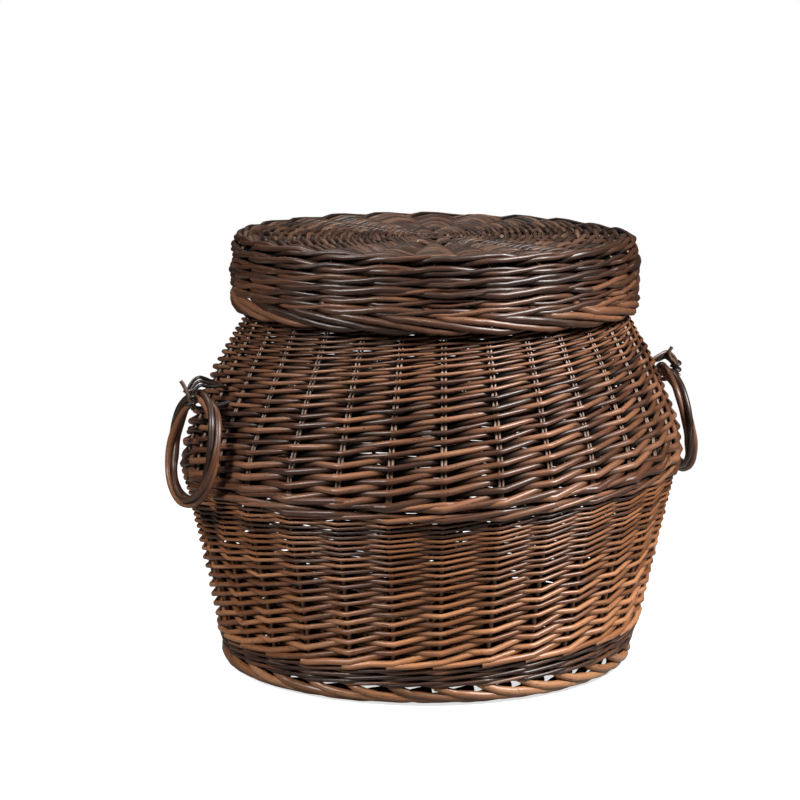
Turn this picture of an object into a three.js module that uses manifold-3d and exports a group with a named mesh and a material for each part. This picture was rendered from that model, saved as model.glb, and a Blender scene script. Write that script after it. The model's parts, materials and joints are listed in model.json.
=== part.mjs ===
// A round wicker laundry hamper with a lift-off lid and two ring handles.
// Millimetres, +Z up, origin on the floor under the middle, front towards -Y.
import * as THREE from "three";
import { mergeVertices } from "three/addons/utils/BufferGeometryUtils.js";
import Module from "manifold-3d";

const wasm = await Module();
wasm.setup();

// Heights of the bands of weave, from the floor up
const FOOT_HEIGHT = 14;
const FOOT_OPEN_HEIGHT = 5;
const UPSETT_HEIGHT = 33;
const LOWER_HEIGHT = 147;
const BELLY_HEIGHT = 27;
const SHOULDER_START = 14;
const UPPER_HEIGHT = 171;
const RIM_WALE_HEIGHT = 14;
const RIM_BORDER_HEIGHT = 14;

// Outside radii of the wall at those heights
const FOOT_RADIUS = 214;
const BASE_RADIUS = 221;
const BELLY_RADIUS = 261.5;
const BELLY_ROUNDING = 2.5;
const RIM_RADIUS = 181.5;
const MOUTH_LEAN = 8;
const SHOULDER_BULGE = 5;
const SHOULDER_STEPS = 2;

// Wall and uprights
const WALL = 14;
const WALE_PROUD = 1.5;
const WEAVE_HOLLOW = 4.5;
const FOOT_DEPTH = 18;
const BORDER_ROUND = 5;
const STAKE_COUNT = 30;
const STAKE_WIDTH = 8;
const STAKE_DEPTH = 4.5;
const STAKE_IN_FOOT = 9;

// Crossed sticks that the base and the lid's top are woven on
const BASE_STICKS_EACH_WAY = 4;
const LID_STICKS_EACH_WAY = 3;
const PIERCED_WIDTH = 7;
const PIERCED_HEIGHT = 10;
const THREADED_WIDTH = 5.5;
const THREADED_HEIGHT = 4.6;
const STICK_SPACE = 1.2;
const STICK_SIDES = 6;
const SLATH_MARGIN = 4;
const STICK_WEB = 0.6;
const BASE_THICKNESS = 14;
const SLATH_HOLE_RADIUS = 22;

// Lid
const LID_SIDE_HEIGHT = 58;
const LID_BORDER_HEIGHT = 18;
const LID_WALL = 12;
const LID_PLAY = 1.5;
const LID_TOP_THICKNESS = 13;
const LID_EDGE_ROUND = 8;
const LID_STICK_GRIP = 7;
const LID_RIB_COUNT = 24;
const LID_RIB_RISE = 5;
const LID_RIB_START = 66;

// Ring handles and the withies that tie them to the weave, halfway between two stakes
const HANDLE_STAKE_COUNT = 14;
const RING_RADIUS = 53;
const RING_TUBE = 9;
const RING_STEPS = 24;
const RING_SIDES = 8;
const RING_TOP_ABOVE_BELLY = 67;
const RING_OFF_WALL = 11;
const RING_REST_GAP = 0.4;
const TIE_RADIUS = 3;
const TIE_SLACK = 2;
const TIE_SPREAD = 9;
const TIE_STEPS = 24;
const TIE_SIDES = 6;
const KNOT_RADIUS = 5.5;
const TIE_END_LENGTH = 16;

// Space left between pieces that touch, and the faceting of the round bands
const CLEAR = 0.3;
const ROUND_STEPS = 40;

const willow = (color, roughness) => new THREE.MeshStandardMaterial({ color, roughness, metalness: 0 });
const weaveFinish = () => willow(0x54341f, 0.45);
const waleFinish = () => willow(0x3b251a, 0.42);
const stickFinish = () => willow(0x6a4a34, 0.5);
const lidFinish = () => willow(0x44302a, 0.42);
const ringFinish = () => willow(0x5c3826, 0.38);
const tieFinish = () => willow(0x1c1411, 0.5);

// Heights where one band ends and the next begins
const upsettBottom = FOOT_HEIGHT + FOOT_OPEN_HEIGHT;
const lowerBottom = upsettBottom + UPSETT_HEIGHT;
const bellyBottom = lowerBottom + LOWER_HEIGHT;
const upperBottom = bellyBottom + BELLY_HEIGHT;
const shoulderBottom = upperBottom + SHOULDER_START;
const rimWaleBottom = upperBottom + UPPER_HEIGHT;
const rimBorderBottom = rimWaleBottom + RIM_WALE_HEIGHT;
const rimTop = rimBorderBottom + RIM_BORDER_HEIGHT;

// The wall's outside line: a straight cone, the belly, and a shoulder that bulges a little to the rim
const wallCorners = [
  [0, FOOT_RADIUS],
  [upsettBottom, BASE_RADIUS],
  [bellyBottom, BELLY_RADIUS - BELLY_ROUNDING],
];
for (let i = 0; i <= SHOULDER_STEPS; i++) {
  const along = i / SHOULDER_STEPS;
  const bulge = 4 * SHOULDER_BULGE * along * (1 - along);
  const radius = THREE.MathUtils.lerp(BELLY_RADIUS, RIM_RADIUS, along) + bulge;
  wallCorners.push([THREE.MathUtils.lerp(shoulderBottom, rimWaleBottom, along), radius]);
}
wallCorners.push([rimTop, RIM_RADIUS - MOUTH_LEAN]);

function wallRadius(z) {
  const last = wallCorners.length - 1;
  const above = Math.min(last, Math.max(1, wallCorners.findIndex(([height]) => height >= z)));
  const [z0, r0] = wallCorners[above - 1];
  const [z1, r1] = wallCorners[above];
  return THREE.MathUtils.mapLinear(z, z0, z1, r0, r1);
}

const wallLevels = (bottom, top) => {
  const between = wallCorners.map(([z]) => z).filter((z) => z > bottom && z < top);
  return [bottom, ...between, top];
};

// A closed ring turned from a profile of [radius, height] corners, listed anticlockwise
function turned(profile, steps = ROUND_STEPS) {
  const points = [...profile, profile[0]].map(([r, z]) => new THREE.Vector2(r, z));
  const geometry = new THREE.LatheGeometry(points, steps);
  return geometry.rotateX(Math.PI / 2).rotateZ(Math.PI);
}

// The same with one rib for each upright, where rods pass over it, and a hollow between each two
function ribbed(profile, count, reshape) {
  const geometry = turned(profile, 2 * count);
  const corners = geometry.getAttribute("position");
  for (let i = 0; i < corners.count; i++) {
    const corner = new THREE.Vector3().fromBufferAttribute(corners, i);
    const turn = Math.atan2(corner.y, corner.x) - Math.PI / 2;
    reshape(corner, (1 + Math.cos(count * turn)) / 2);
    corners.setXYZ(i, ...corner);
  }
  return geometry;
}

// A straight-sided line through points, one step of an extrusion for each stretch
class RodLine extends THREE.Curve {
  constructor(points) {
    super();
    this.points = points;
  }
  getPoint(t, target = new THREE.Vector3()) {
    const place = t * (this.points.length - 1);
    const i = Math.min(Math.floor(place), this.points.length - 2);
    return target.lerpVectors(this.points[i], this.points[i + 1], place - i);
  }
  getPointAt(u, target) {
    return this.getPoint(u, target);
  }
  // At a corner the section stands halfway between the two stretches
  getTangentAt(u, target = new THREE.Vector3()) {
    const last = this.points.length - 1;
    const corner = Math.round(u * last);
    const stretch = (i) => new THREE.Vector3().subVectors(this.points[i + 1], this.points[i]).normalize();
    const before = stretch(Math.max(corner - 1, 0));
    return target.addVectors(before, stretch(Math.min(corner, last - 1))).normalize();
  }
}

function rod(points, section) {
  const shape = new THREE.Shape(section);
  const path = new RodLine(points);
  return new THREE.ExtrudeGeometry(shape, { steps: points.length - 1, extrudePath: path });
}

const boxSection = (width, depth) => [
  new THREE.Vector2(-width / 2, -depth / 2),
  new THREE.Vector2(width / 2, -depth / 2),
  new THREE.Vector2(width / 2, depth / 2),
  new THREE.Vector2(-width / 2, depth / 2),
];

function roundSection(height, width, sides) {
  const corners = [];
  for (let i = 0; i < sides; i++) {
    const angle = (2 * Math.PI * (i + 0.5)) / sides;
    corners.push(new THREE.Vector2((height / 2) * Math.cos(angle), (width / 2) * Math.sin(angle)));
  }
  return corners;
}

// Joining and cutting of closed shapes
function solidOf(geometry, matrix = new THREE.Matrix4()) {
  const bare = new THREE.BufferGeometry();
  const loose = geometry.index ? geometry.toNonIndexed() : geometry;
  bare.setAttribute("position", loose.getAttribute("position").clone());
  const merged = mergeVertices(bare.applyMatrix4(matrix), 1e-4);
  const vertProperties = merged.attributes.position.array;
  const triVerts = new Uint32Array(merged.index.array);
  return new wasm.Manifold(new wasm.Mesh({ numProp: 3, vertProperties, triVerts }));
}

function geometryOf(solid) {
  const { vertProperties, triVerts } = solid.getMesh();
  const geometry = new THREE.BufferGeometry();
  geometry.setAttribute("position", new THREE.BufferAttribute(vertProperties, 3));
  return geometry.setIndex(new THREE.BufferAttribute(triVerts, 1));
}

const cutBy = (geometry, ...cutters) =>
  geometryOf(cutters.reduce((solid, cutter) => solid.subtract(cutter), solidOf(geometry)));

function named(name, geometry, material) {
  const mesh = new THREE.Mesh(geometry, material);
  mesh.name = name;
  return mesh;
}

const hamper = new THREE.Group();
const lid = new THREE.Group();
hamper.add(lid);

// Side stakes: each stands in the foot, runs up inside the wall and ends under the rim border
const stakePitch = (2 * Math.PI) / STAKE_COUNT;
const stakeTurn = (index) => index * stakePitch - Math.PI / 2;
const stakeRadius = (z) => wallRadius(z) - WALL / 2;

const stakeBottom = FOOT_HEIGHT - STAKE_IN_FOOT;
const stakeTop = rimBorderBottom - STAKE_DEPTH / 4;

function stakeShape(bottom, top, spare) {
  const points = wallLevels(bottom, top).map((z) => new THREE.Vector3(stakeRadius(z), 0, z));
  return rod(points, boxSection(STAKE_WIDTH + 2 * spare, STAKE_DEPTH + 2 * spare));
}

const stakeChannels = [];
for (let i = 0; i < STAKE_COUNT; i++) {
  const name = `side_stake_${String(i + 1).padStart(2, "0")}`;
  const stake = named(name, stakeShape(stakeBottom, stakeTop, 0), stickFinish());
  stake.rotation.z = stakeTurn(i);
  hamper.add(stake);
  const channel = stakeShape(stakeBottom - CLEAR, rimBorderBottom + STAKE_DEPTH, CLEAR);
  stakeChannels.push(solidOf(channel, new THREE.Matrix4().makeRotationZ(stakeTurn(i))));
}
const allChannels = stakeChannels.reduce((sum, channel) => sum.add(channel));

// Crossed sticks: the pierced ones lie along X with a slit each, the threaded ones pass through the slits
function slath(name, each, height, reach, spare = 0) {
  const sticks = [];
  const piercedPitch = PIERCED_WIDTH + STICK_SPACE;
  const threadedPitch = THREADED_WIDTH + STICK_SPACE;
  const slitLength = each * threadedPitch;
  const fan = Math.PI / 2 / each;
  const line = (offset, bend, angle, end) => [
    new THREE.Vector3(-end * Math.cos(angle), end * Math.sin(angle), height),
    new THREE.Vector3(-bend, offset, height),
    new THREE.Vector3(bend, offset, height),
    new THREE.Vector3(end * Math.cos(angle), end * Math.sin(angle), height),
  ];
  for (let i = 0; i < each; i++) {
    const place = i - (each - 1) / 2;
    const piercedLine = line(place * piercedPitch, slitLength / 2 + SLATH_MARGIN, place * fan, reach + spare);
    const piercedSection = roundSection(PIERCED_HEIGHT + 2 * spare, PIERCED_WIDTH + 2 * spare, STICK_SIDES);
    const slit = new THREE.BoxGeometry(slitLength, PIERCED_WIDTH * 2, THREADED_HEIGHT + 2 * CLEAR);
    slit.translate(0, place * piercedPitch, height);
    const pierced = solidOf(rod(piercedLine, piercedSection));
    sticks.push([`${name}_pierced_stick_${i + 1}`, spare ? pierced : pierced.subtract(solidOf(slit))]);

    const bend = (each * piercedPitch) / 2 + SLATH_MARGIN;
    const threadedLine = line(place * threadedPitch, bend, place * fan, reach + spare);
    const threadedSection = roundSection(THREADED_HEIGHT + 2 * spare, THREADED_WIDTH + 2 * spare, STICK_SIDES);
    const quarterTurn = new THREE.Matrix4().makeRotationZ(Math.PI / 2);
    sticks.push([`${name}_threaded_stick_${i + 1}`, solidOf(rod(threadedLine, threadedSection), quarterTurn)]);
  }
  return sticks;
}

function addSlath(group, ...measures) {
  for (const [name, solid] of slath(...measures)) group.add(named(name, geometryOf(solid), stickFinish()));
  return slath(...measures, CLEAR).map(([, solid]) => solid);
}

// Base: its sticks reach into the wall, short of the stakes
const baseBottom = upsettBottom + CLEAR;
const baseTop = baseBottom + BASE_THICKNESS;
const baseMiddle = (baseBottom + baseTop) / 2;
const baseReach = stakeRadius(baseMiddle) - STAKE_DEPTH / 2 - 2 * CLEAR - STICK_WEB;
const baseCuts = addSlath(hamper, "base", BASE_STICKS_EACH_WAY, baseMiddle, baseReach);
const baseEdge = (z) => wallRadius(z) - WALL - CLEAR;
const baseDisc = turned([
  [SLATH_HOLE_RADIUS, baseBottom],
  [baseEdge(baseBottom), baseBottom],
  [baseEdge(baseTop), baseTop],
  [SLATH_HOLE_RADIUS, baseTop],
]);
hamper.add(named("base_weave", cutBy(baseDisc, ...baseCuts), weaveFinish()));

// Foot border: a rolled ring with a flat underside, the stakes' lower ends stand in it
const footInner = FOOT_RADIUS - FOOT_DEPTH;
const footRing = turned([
  [footInner + BORDER_ROUND, 0],
  [FOOT_RADIUS, 0],
  [wallRadius(BORDER_ROUND) + WALE_PROUD, BORDER_ROUND],
  [wallRadius(FOOT_HEIGHT - BORDER_ROUND) + WALE_PROUD, FOOT_HEIGHT - BORDER_ROUND],
  [wallRadius(FOOT_HEIGHT) - WALE_PROUD, FOOT_HEIGHT],
  [footInner + BORDER_ROUND, FOOT_HEIGHT],
  [footInner, FOOT_HEIGHT - BORDER_ROUND],
  [footInner, BORDER_ROUND],
]);
hamper.add(named("foot_border", cutBy(footRing, allChannels), waleFinish()));

// Bands of the wall, with a channel for each stake
function bandProfile(bottom, top, proud) {
  const levels = wallLevels(bottom, top);
  const outside = levels.map((z) => [wallRadius(z) + proud, z]);
  const inside = levels.map((z) => [wallRadius(z) - WALL, z]).reverse();
  return [...outside, ...inside];
}

const waleBand = (bottom, top) => turned(bandProfile(bottom, top, WALE_PROUD));

// Slanted weave stands out at the stakes and falls back between them
const weaveBand = (bottom, top) =>
  ribbed(bandProfile(bottom, top, 0), STAKE_COUNT, (corner, rib) => {
    const radius = Math.hypot(corner.x, corner.y);
    if (radius < stakeRadius(corner.z)) return;
    const shrink = 1 - (WEAVE_HOLLOW * (1 - rib)) / radius;
    corner.set(corner.x * shrink, corner.y * shrink, corner.z);
  });

const upsett = waleBand(upsettBottom, lowerBottom);
hamper.add(named("upsett_wale", cutBy(upsett, allChannels, ...baseCuts), waleFinish()));
const lowerSide = weaveBand(lowerBottom + CLEAR, bellyBottom);
hamper.add(named("lower_side_weave", cutBy(lowerSide, allChannels), weaveFinish()));
const belly = waleBand(bellyBottom + CLEAR, upperBottom);
hamper.add(named("belly_wale", cutBy(belly, allChannels), waleFinish()));
const rimWale = waleBand(rimWaleBottom + CLEAR, rimBorderBottom);
hamper.add(named("rim_wale", cutBy(rimWale, allChannels), waleFinish()));

// Rim border over the ends of the stakes, with a flat top that the lid rests on
const rimBorderFloor = rimBorderBottom + CLEAR;
const rimOutside = wallRadius(rimBorderFloor) + WALE_PROUD;
const rimInside = wallRadius(rimBorderFloor) - WALL;
const rimRing = turned([
  [rimInside, rimBorderFloor],
  [rimOutside, rimBorderFloor],
  [rimOutside, rimTop - BORDER_ROUND],
  [rimOutside - BORDER_ROUND, rimTop],
  [rimInside + BORDER_ROUND, rimTop],
  [rimInside, rimTop - BORDER_ROUND],
]);
hamper.add(named("rim_border", rimRing, waleFinish()));

// Handles: a ring hangs in its tie and leans on the belly
const ringTopHeight = upperBottom + RING_TOP_ABOVE_BELLY;
const ringTopRadius = wallRadius(ringTopHeight) + RING_OFF_WALL + RING_TUBE;

// Height over which the wall's slope is read, above and below a point
const SLOPE_REACH = 1;

function ringGap(lean) {
  let least = Infinity;
  for (let i = 0; i < RING_STEPS * 4; i++) {
    const turn = (2 * Math.PI * i) / (RING_STEPS * 4);
    const drop = RING_RADIUS * (1 - Math.cos(turn));
    const z = ringTopHeight - drop * Math.cos(lean);
    const out = ringTopRadius + drop * Math.sin(lean);
    const slope = (wallRadius(z + SLOPE_REACH) - wallRadius(z - SLOPE_REACH)) / (2 * SLOPE_REACH);
    const away = Math.hypot(out, RING_RADIUS * Math.sin(turn)) - wallRadius(z) - WALE_PROUD;
    least = Math.min(least, away * Math.cos(Math.atan(slope)) - RING_TUBE);
  }
  return least;
}

const LEAN_STEP = 0.001;
let ringLean = 0;
while (ringGap(ringLean) < RING_REST_GAP && ringLean < Math.PI / 2) ringLean += LEAN_STEP;

// The tie goes over the ring, in through the weave, round some of its rods and out again under the ring
const tieLoop = RING_TUBE + TIE_SLACK + TIE_RADIUS;
const tieOuter = ringTopRadius + tieLoop;
const tieBehind = wallRadius(ringTopHeight) - WALL - TIE_SLACK - TIE_RADIUS;
const tieRise = tieLoop / 2;

function tieShape(spare) {
  const place = (out, side, up) => new THREE.Vector3(out, side, ringTopHeight + up);
  const outsideWall = (side, up) => place(wallRadius(ringTopHeight + up), side, up);
  const insideWall = (side, up) => place(wallRadius(ringTopHeight + up) - WALL, side, up);
  const loop = new THREE.CatmullRomCurve3(
    [
      place(tieOuter, 0, 0),
      place(ringTopRadius, -TIE_RADIUS, tieLoop),
      outsideWall(-TIE_SPREAD, tieRise),
      insideWall(-TIE_SPREAD, tieRise),
      place(tieBehind, 0, 0),
      insideWall(TIE_SPREAD, -tieRise),
      outsideWall(TIE_SPREAD, -tieRise),
      place(ringTopRadius, TIE_RADIUS, -tieLoop),
    ],
    true,
  );
  return new THREE.TubeGeometry(loop, TIE_STEPS, TIE_RADIUS + spare, TIE_SIDES, true);
}

function tieWithKnot() {
  const knot = new THREE.IcosahedronGeometry(KNOT_RADIUS, 1).translate(tieOuter + TIE_RADIUS, 0, ringTopHeight);
  const end = new THREE.CylinderGeometry(TIE_RADIUS, TIE_RADIUS, TIE_END_LENGTH, TIE_SIDES);
  end.rotateX(Math.PI / 2).translate(0, 0, TIE_END_LENGTH / 2).rotateY(Math.PI / 6);
  end.translate(tieOuter + TIE_RADIUS, 0, ringTopHeight);
  return geometryOf(solidOf(tieShape(0)).add(solidOf(knot)).add(solidOf(end)));
}

const tieCuts = [];
const handleStake = HANDLE_STAKE_COUNT / 2;
for (const [side, stake] of [["right", handleStake], ["left", -handleStake]]) {
  const turn = stakeTurn(stake) + stakePitch / 2;
  const place = new THREE.Group();
  place.rotation.z = turn;
  const ringShape = new THREE.TorusGeometry(RING_RADIUS, RING_TUBE, RING_SIDES, RING_STEPS);
  const ring = named(`handle_ring_${side}`, ringShape.rotateY(Math.PI / 2), ringFinish());
  ring.geometry.translate(0, 0, -RING_RADIUS);
  ring.position.set(ringTopRadius, 0, ringTopHeight);
  ring.rotation.y = -ringLean;
  place.add(ring, named(`handle_tie_${side}`, tieWithKnot(), tieFinish()));
  hamper.add(place);
  tieCuts.push(solidOf(tieShape(CLEAR), new THREE.Matrix4().makeRotationZ(turn)));
}
const upperSide = weaveBand(upperBottom + CLEAR, rimWaleBottom);
hamper.add(named("upper_side_weave", cutBy(upperSide, allChannels, ...tieCuts), weaveFinish()));

// Lid: the top rests on the rim border, the side hangs outside the wall with some play
const lidTopBottom = rimTop + CLEAR;
const lidTopTop = lidTopBottom + LID_TOP_THICKNESS;
const lidSideTop = lidTopTop + CLEAR + STICK_WEB + BORDER_ROUND;
const lidSideBottom = lidSideTop - LID_SIDE_HEIGHT;
const lidBorderTop = lidSideBottom - CLEAR;
const lidBottom = lidBorderTop - LID_BORDER_HEIGHT;
const lidInner = wallRadius(lidBottom) + LID_PLAY;
const lidOuter = lidInner + LID_WALL;
const lidMiddle = (lidTopBottom + lidTopTop) / 2;
const lidCuts = addSlath(lid, "lid", LID_STICKS_EACH_WAY, lidMiddle, lidInner + LID_STICK_GRIP);
const lidProfile = [
  [SLATH_HOLE_RADIUS, lidTopBottom],
  [lidInner - CLEAR, lidTopBottom],
  [lidInner - CLEAR, lidTopTop],
  [LID_RIB_START, lidTopTop],
  [SLATH_HOLE_RADIUS, lidTopTop],
];

// The lid's top stands up over its uprights, from the slath out
const ribStart = (LID_RIB_START + SLATH_HOLE_RADIUS) / 2;
const lidDisc = ribbed(lidProfile, LID_RIB_COUNT, (corner, rib) => {
  const onTop = corner.z > lidMiddle && Math.hypot(corner.x, corner.y) > ribStart;
  if (onTop) corner.z += LID_RIB_RISE * rib;
});
lid.add(named("lid_top_weave", cutBy(lidDisc, ...lidCuts), lidFinish()));
const lidSideProfile = [
  [lidInner, lidSideBottom],
  [lidOuter, lidSideBottom],
  [lidOuter, lidSideTop - LID_EDGE_ROUND],
  [lidOuter - LID_EDGE_ROUND / 3, lidSideTop - LID_EDGE_ROUND / 3],
  [lidOuter - LID_EDGE_ROUND, lidSideTop],
  [lidInner, lidSideTop],
];

// It has as many facets as the top, whose edge it goes round
const lidSide = turned(lidSideProfile, 2 * LID_RIB_COUNT);
lid.add(named("lid_side_wale", cutBy(lidSide, ...lidCuts), lidFinish()));
const lidBorder = turned([
  [lidInner, lidBottom + BORDER_ROUND],
  [lidInner + BORDER_ROUND, lidBottom],
  [lidOuter + WALE_PROUD - BORDER_ROUND, lidBottom],
  [lidOuter + WALE_PROUD, lidBottom + BORDER_ROUND],
  [lidOuter + WALE_PROUD, lidBorderTop - BORDER_ROUND],
  [lidOuter, lidBorderTop],
  [lidInner, lidBorderTop],
]);
lid.add(named("lid_border", lidBorder, lidFinish()));

export default hamper;
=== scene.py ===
# %% [markdown]
# # A wicker laundry hamper
#
# A round hamper woven from stained willow: thirty upright stakes, bands of weave round them, a lid that
# lifts off and two ring handles. The CAD solids give every band its place and size. Here each band is
# woven again from single rods, because what the eye reads as wicker is the run of the rods.

import json
import math

import bmesh
import bpy
import numpy as np
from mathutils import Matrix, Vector

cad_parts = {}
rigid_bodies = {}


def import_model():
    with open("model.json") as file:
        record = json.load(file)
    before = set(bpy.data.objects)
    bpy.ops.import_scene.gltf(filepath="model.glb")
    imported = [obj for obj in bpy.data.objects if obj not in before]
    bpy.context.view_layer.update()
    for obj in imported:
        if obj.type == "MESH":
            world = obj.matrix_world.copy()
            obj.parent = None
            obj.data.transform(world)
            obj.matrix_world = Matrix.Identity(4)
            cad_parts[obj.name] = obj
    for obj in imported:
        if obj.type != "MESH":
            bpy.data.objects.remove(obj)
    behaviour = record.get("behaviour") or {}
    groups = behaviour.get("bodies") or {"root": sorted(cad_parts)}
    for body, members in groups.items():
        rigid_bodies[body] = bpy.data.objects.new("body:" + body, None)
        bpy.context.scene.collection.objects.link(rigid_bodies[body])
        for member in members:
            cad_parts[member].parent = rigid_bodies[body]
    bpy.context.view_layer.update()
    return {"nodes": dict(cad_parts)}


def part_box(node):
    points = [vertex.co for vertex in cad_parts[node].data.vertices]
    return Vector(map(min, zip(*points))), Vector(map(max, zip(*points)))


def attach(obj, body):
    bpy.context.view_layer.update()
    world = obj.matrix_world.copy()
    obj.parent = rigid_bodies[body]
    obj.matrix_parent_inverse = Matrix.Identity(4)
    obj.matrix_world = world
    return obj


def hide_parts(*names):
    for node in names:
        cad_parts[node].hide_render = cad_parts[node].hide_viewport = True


for leftover in list(bpy.data.objects):
    bpy.data.objects.remove(leftover)

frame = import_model()
MM = 0.001
rng = np.random.default_rng(30)
print("CAD nodes:", len(frame["nodes"]))

# %% [markdown]
# ## Camera
#
# The camera stands a little to the left of the front and looks down by under ten degrees. A long lens
# from three metres away keeps the foot and the lid nearly as flat as a picture in a catalogue shows them.
# The heading is written as angles, and to_track_quat turns it into a rotation, which is easier to read
# than three Euler angles found by trial.

# %% Camera
CAMERA_AWAY = 2.931
CAMERA_HEIGHT = 0.763
CAMERA_ROUND = math.radians(-15)
CAMERA_DOWN = math.radians(9.54)
CAMERA_ASIDE = math.radians(-0.62)
LENS = 128.0
SENSOR_WIDTH = 36.0
SIGHT = 60.0

camera = bpy.data.objects.new("camera", bpy.data.cameras.new("camera"))
bpy.context.scene.collection.objects.link(camera)
camera.data.lens = LENS
camera.data.sensor_width = SENSOR_WIDTH
camera.data.clip_end = SIGHT
camera.location = (
    CAMERA_AWAY * math.sin(CAMERA_ROUND),
    -CAMERA_AWAY * math.cos(CAMERA_ROUND),
    CAMERA_HEIGHT,
)
heading = CAMERA_ASIDE - CAMERA_ROUND
forward = Vector((
    math.sin(heading) * math.cos(CAMERA_DOWN),
    math.cos(heading) * math.cos(CAMERA_DOWN),
    -math.sin(CAMERA_DOWN),
))
camera.rotation_euler = forward.to_track_quat("-Z", "Y").to_euler()
bpy.context.scene.camera = camera
bpy.context.scene.view_settings.view_transform = "Standard"
print("camera", [round(value, 3) for value in camera.location])

# %% [markdown]
# ## Lamps and surround
#
# Dark varnished rods show their shape by narrow highlights, so the light comes from lamps of a limited
# size: a large one from the right, a weaker one from the left, and a faint one behind and above that rims
# the lid. The surround is white for the camera only. As a light it is very weak, because an even white
# surround would lay a grey veil on the varnish.

# %% Lamps
LAMP_TARGET = Vector((0, 0, 0.22))
LAMPS = {
    "lamp_right": ((1.45, -1.55, 2.3), 1.2, 152),
    "lamp_left": ((-2.1, -0.8, 1.9), 0.9, 52),
    "lamp_above": ((-0.3, 1.2, 2.4), 1.2, 12),
}

for name, (place, size, power) in LAMPS.items():
    data = bpy.data.lights.new(name, "AREA")
    data.shape = "DISK"
    data.size = size
    data.energy = power
    lamp = bpy.data.objects.new(name, data)
    bpy.context.scene.collection.objects.link(lamp)
    lamp.location = place
    lamp.rotation_euler = (LAMP_TARGET - Vector(place)).to_track_quat("-Z", "Y").to_euler()
    print(name, power, "W")

# %% Surround
SURROUND_SEEN = 1.0
SURROUND_LIGHT = 0.02

world = bpy.data.worlds.new("studio")
bpy.context.scene.world = world
world.use_nodes = True
wires = world.node_tree
wires.nodes.clear()


def white_background(strength):
    background = wires.nodes.new("ShaderNodeBackground")
    background.inputs["Color"].default_value = (1, 1, 1, 1)
    background.inputs["Strength"].default_value = strength
    return background.outputs[0]


path = wires.nodes.new("ShaderNodeLightPath")
choose = wires.nodes.new("ShaderNodeMixShader")
out = wires.nodes.new("ShaderNodeOutputWorld")
wires.links.new(path.outputs["Is Camera Ray"], choose.inputs[0])
wires.links.new(white_background(SURROUND_LIGHT), choose.inputs[1])
wires.links.new(white_background(SURROUND_SEEN), choose.inputs[2])
wires.links.new(choose.outputs[0], out.inputs["Surface"])
print("surround: white to the camera,", SURROUND_LIGHT, "as a light")

# %% [markdown]
# ## Floor
#
# The hamper stands on white paper that shows no edge. A disc does this: towards its rim it turns
# transparent, and near the hamper it keeps the shadow. For the camera it glows a little, so that it is
# nearly as white as the surround. For all other rays it is a dull grey, so that it doesn't light the
# weave from below.

# %% Floor
FLOOR_RADIUS = 1.6
FLOOR_SEGMENTS = 96
FLOOR_FADE = (0.42, 1.25)
PAPER_GREY = 0.7
PAPER_GLOW = 0.72
BOUNCE_GREY = 0.24

floor_mesh = bpy.data.meshes.new("floor")
form = bmesh.new()
bmesh.ops.create_circle(form, cap_ends=True, segments=FLOOR_SEGMENTS, radius=FLOOR_RADIUS)
form.to_mesh(floor_mesh)
form.free()
floor = bpy.data.objects.new("floor", floor_mesh)
bpy.context.scene.collection.objects.link(floor)
print("floor", FLOOR_RADIUS, "m, fading from", FLOOR_FADE[0], "m")

# %% Paper of the floor
paper = bpy.data.materials.new("paper")
paper.use_nodes = True
wires = paper.node_tree
wires.nodes.clear()


def matt_grey(level):
    matt = wires.nodes.new("ShaderNodeBsdfDiffuse")
    matt.inputs["Color"].default_value = (level, level, level, 1)
    return matt.outputs[0]


path = wires.nodes.new("ShaderNodeLightPath")
glow_share = wires.nodes.new("ShaderNodeMath")
glow_share.operation = "MULTIPLY"
glow_share.inputs[1].default_value = PAPER_GLOW
glow = wires.nodes.new("ShaderNodeEmission")
lit = wires.nodes.new("ShaderNodeAddShader")
seen = wires.nodes.new("ShaderNodeMixShader")
spot = wires.nodes.new("ShaderNodeTexCoord")
away = wires.nodes.new("ShaderNodeVectorMath")
away.operation = "LENGTH"
fade = wires.nodes.new("ShaderNodeMapRange")
fade.interpolation_type = "SMOOTHSTEP"
fade.inputs["From Min"].default_value = FLOOR_FADE[0]
fade.inputs["From Max"].default_value = FLOOR_FADE[1]
clear = wires.nodes.new("ShaderNodeBsdfTransparent")
choose = wires.nodes.new("ShaderNodeMixShader")
out = wires.nodes.new("ShaderNodeOutputMaterial")
wires.links.new(path.outputs["Is Camera Ray"], glow_share.inputs[0])
wires.links.new(glow_share.outputs[0], glow.inputs["Strength"])
wires.links.new(matt_grey(PAPER_GREY), lit.inputs[0])
wires.links.new(glow.outputs[0], lit.inputs[1])
wires.links.new(path.outputs["Is Camera Ray"], seen.inputs[0])
wires.links.new(matt_grey(BOUNCE_GREY), seen.inputs[1])
wires.links.new(lit.outputs[0], seen.inputs[2])
wires.links.new(spot.outputs["Object"], away.inputs[0])
wires.links.new(away.outputs["Value"], fade.inputs["Value"])
wires.links.new(fade.outputs["Result"], choose.inputs[0])
wires.links.new(seen.outputs[0], choose.inputs[1])
wires.links.new(clear.outputs[0], choose.inputs[2])
wires.links.new(choose.outputs[0], out.inputs["Surface"])
floor_mesh.materials.append(paper)
print("paper:", len(wires.nodes), "nodes")
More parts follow.
